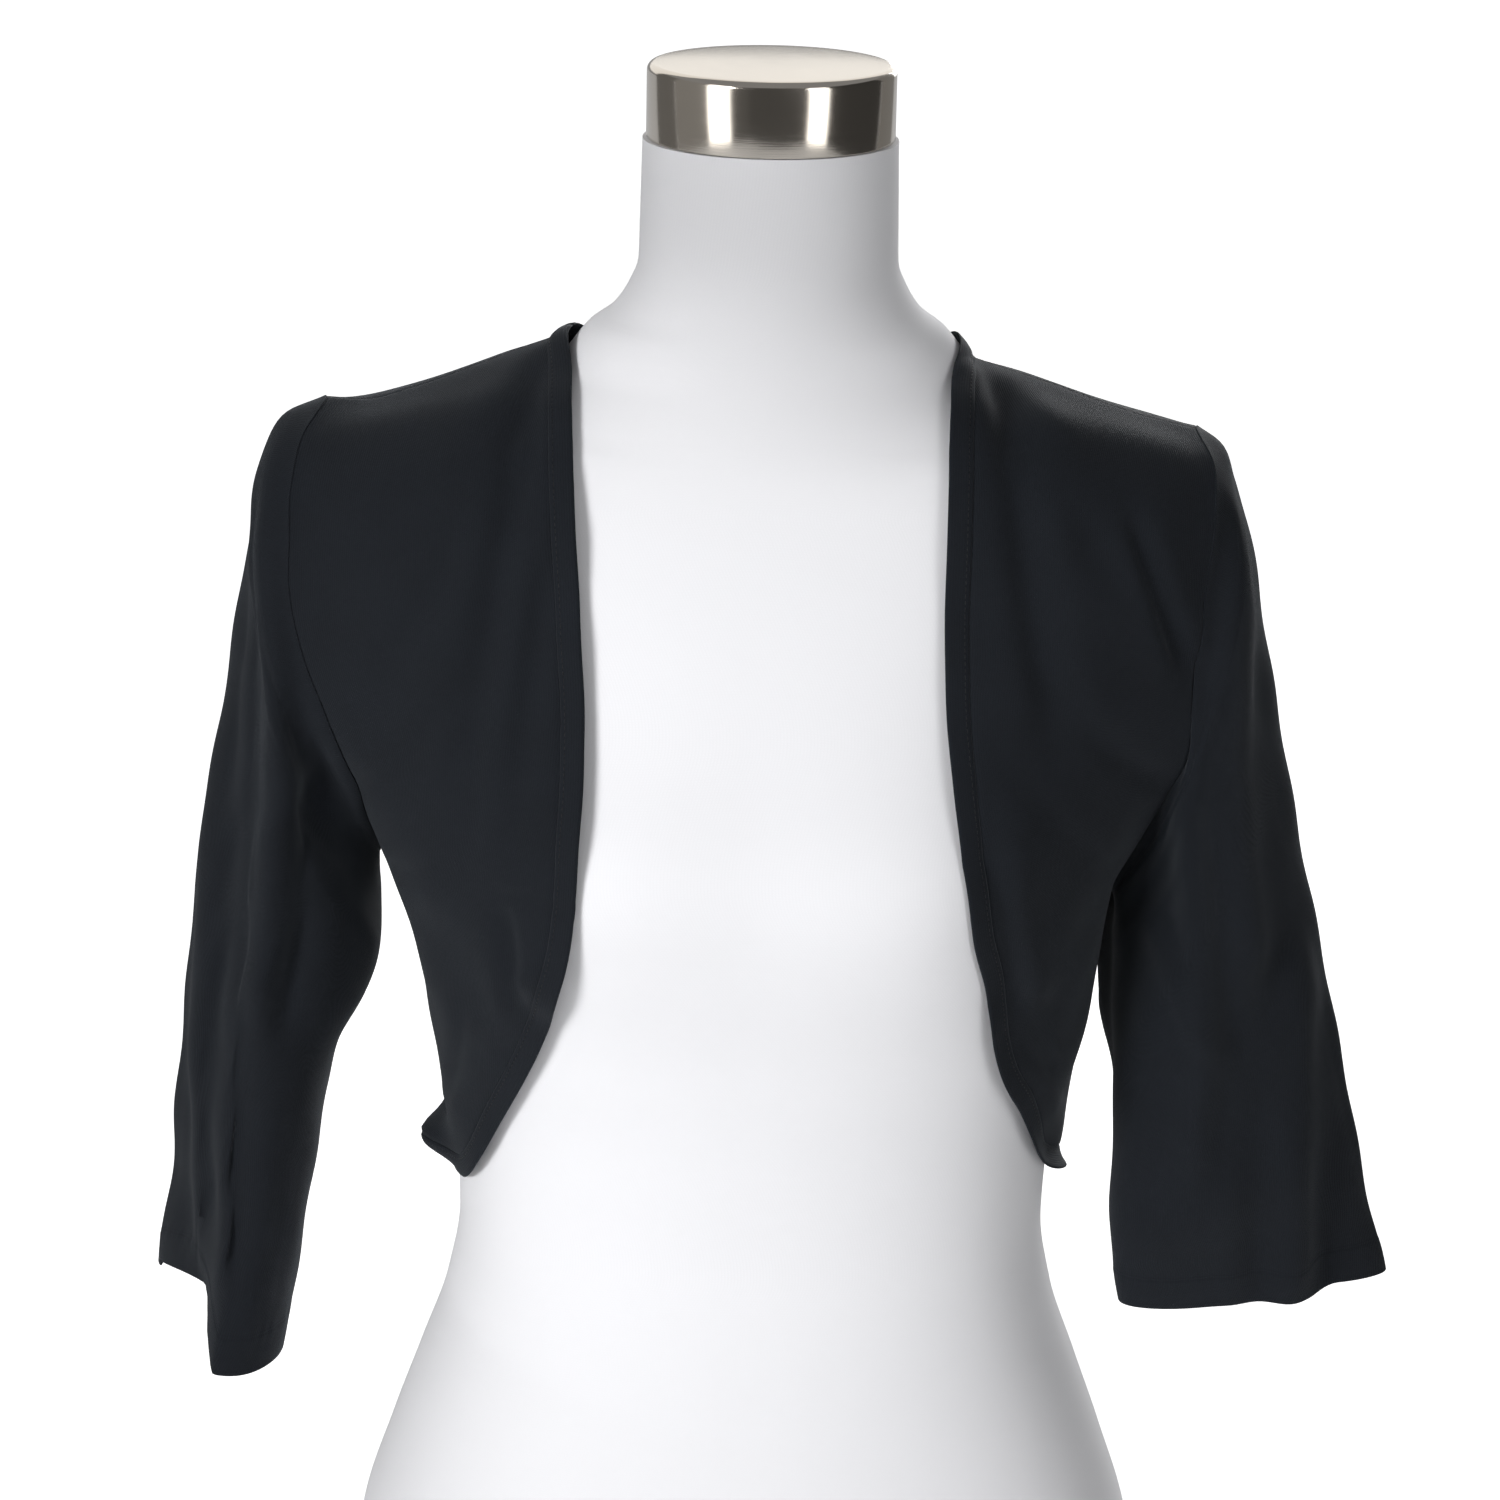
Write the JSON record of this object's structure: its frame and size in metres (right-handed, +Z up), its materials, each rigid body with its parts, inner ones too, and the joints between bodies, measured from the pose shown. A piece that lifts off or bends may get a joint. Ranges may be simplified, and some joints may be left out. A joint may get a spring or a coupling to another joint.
{
  "type": "knitted shrug on a dress form",
  "caption": "Open-front knitted shrug with three-quarter sleeves, bound edges and a curved opening, worn by a limbless jersey-covered dress form with a metal neck cap.",
  "frame": {"origin": "centre of the form's flat base", "axes": "+Z up, the front faces -Y, +X is the wearer's left"},
  "size_m": [0.5723, 0.2534, 0.7556],
  "materials": {
    "black_jersey": "fine matt jersey with a faint sheen",
    "white_jersey": "stretched matt jersey cover",
    "brushed_nickel": "brushed nickel, slightly warm"
  },
  "bodies": {
    "root": {"form_torso": "white_jersey", "form_neck_cap": "brushed_nickel", "shrug_back": "black_jersey", "shrug_front_left": "black_jersey", "shrug_front_right": "black_jersey", "sleeve_left": "black_jersey", "sleeve_right": "black_jersey", "band_front_left": "black_jersey", "band_front_right": "black_jersey", "band_neck": "black_jersey", "band_hem": "black_jersey"}
  },
  "joints": []
}
